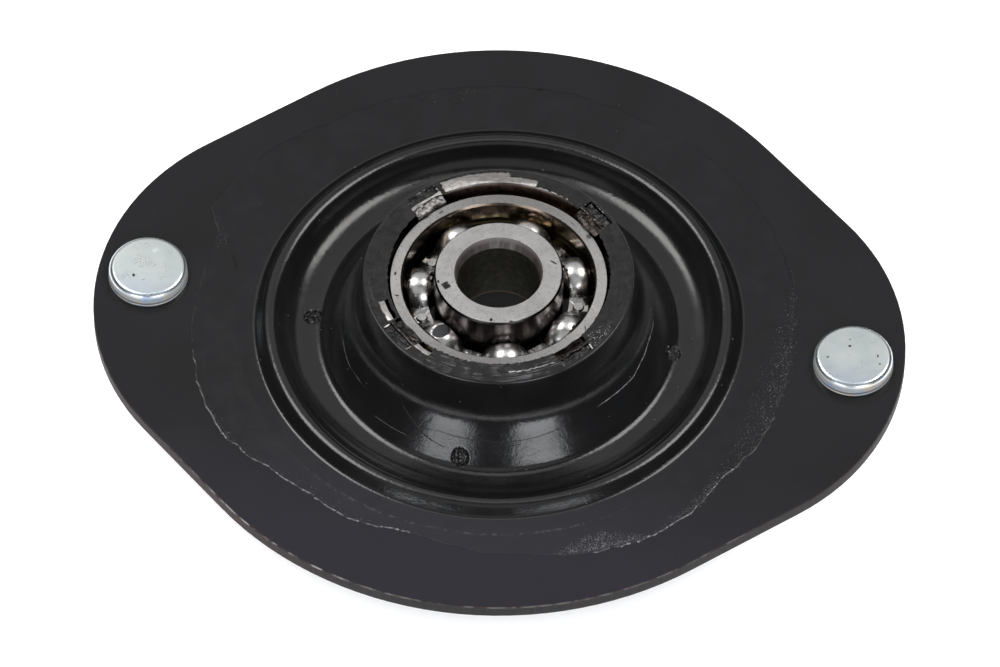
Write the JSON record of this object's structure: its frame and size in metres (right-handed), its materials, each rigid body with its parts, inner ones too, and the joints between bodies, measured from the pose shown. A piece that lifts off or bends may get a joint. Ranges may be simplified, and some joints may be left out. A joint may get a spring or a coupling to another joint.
{
  "type": "strut mount",
  "caption": "Top mount of a suspension strut: an oval stud plate with a bonded rubber hub whose staked steel cup holds an open ball bearing for the strut rod.",
  "frame": {"origin": "on the bearing's axis, in the plane of the plate's tower face, midway between the studs", "axes": "+Z along the bearing's axis, out of the cup's open side; +X through the two studs"},
  "size_m": [0.1184, 0.102, 0.0286],
  "materials": {
    "plate_coating": "satin charcoal dip coating, brownish at the sheared edge",
    "zinc_plating": "bright zinc plating with a faint green-blue tint",
    "moulded_rubber": "smooth glossy moulded black",
    "cup_steel": "cold-formed steel, bright where the staking has scraped it",
    "ring_steel": "ground bearing steel",
    "ball_steel": "polished bearing steel",
    "cage_steel": "bright pressed strip"
  },
  "bodies": {
    "mount": {"mounting_plate": "plate_coating", "studs": "zinc_plating", "rubber_mount": "moulded_rubber", "bearing_housing": "cup_steel", "outer_ring": "ring_steel"},
    "inner_ring": {"inner_ring": "ring_steel"},
    "cage": {"upper_cage": "cage_steel", "lower_cage": "cage_steel", "cage_rivets": "cage_steel"},
    "ball_1": {"ball_1": "ball_steel"},
    "ball_2": {"ball_2": "ball_steel"},
    "ball_3": {"ball_3": "ball_steel"},
    "ball_4": {"ball_4": "ball_steel"},
    "ball_5": {"ball_5": "ball_steel"},
    "ball_6": {"ball_6": "ball_steel"},
    "ball_7": {"ball_7": "ball_steel"}
  },
  "joints": [
    {"name": "inner_ring_turn", "type": "hinge", "parent": "mount", "child": "inner_ring", "pos_m": [0, 0, 0.0069], "axis": [0, 0, 1], "continuous": true},
    {"name": "cage_turn", "type": "hinge", "parent": "mount", "child": "cage", "pos_m": [0, 0, 0.0069], "axis": [0, 0, 1], "continuous": true},
    {"name": "ball_1_spin", "type": "hinge", "parent": "cage", "child": "ball_1", "pos_m": [0.01035, 0.00525, 0.0069], "axis": [0, 0, 1], "continuous": true},
    {"name": "ball_2_spin", "type": "hinge", "parent": "cage", "child": "ball_2", "pos_m": [0.00235, 0.01137, 0.0069], "axis": [0, 0, 1], "continuous": true},
    {"name": "ball_3_spin", "type": "hinge", "parent": "cage", "child": "ball_3", "pos_m": [-0.00742, 0.00892, 0.0069], "axis": [0, 0, 1], "continuous": true},
    {"name": "ball_4_spin", "type": "hinge", "parent": "cage", "child": "ball_4", "pos_m": [-0.0116, -0.00024, 0.0069], "axis": [0, 0, 1], "continuous": true},
    {"name": "ball_5_spin", "type": "hinge", "parent": "cage", "child": "ball_5", "pos_m": [-0.00705, -0.00922, 0.0069], "axis": [0, 0, 1], "continuous": true},
    {"name": "ball_6_spin", "type": "hinge", "parent": "cage", "child": "ball_6", "pos_m": [0.00282, -0.01126, 0.0069], "axis": [0, 0, 1], "continuous": true},
    {"name": "ball_7_spin", "type": "hinge", "parent": "cage", "child": "ball_7", "pos_m": [0.01056, -0.00482, 0.0069], "axis": [0, 0, 1], "continuous": true}
  ],
  "couplings": [
    {"joint": "cage_turn", "follows": "inner_ring_turn", "ratio": 0.37182},
    {"joint": "ball_1_spin", "follows": "inner_ring_turn", "ratio": -1.8223},
    {"joint": "ball_2_spin", "follows": "inner_ring_turn", "ratio": -1.8223},
    {"joint": "ball_3_spin", "follows": "inner_ring_turn", "ratio": -1.8223},
    {"joint": "ball_4_spin", "follows": "inner_ring_turn", "ratio": -1.8223},
    {"joint": "ball_5_spin", "follows": "inner_ring_turn", "ratio": -1.8223},
    {"joint": "ball_6_spin", "follows": "inner_ring_turn", "ratio": -1.8223},
    {"joint": "ball_7_spin", "follows": "inner_ring_turn", "ratio": -1.8223}
  ]
}
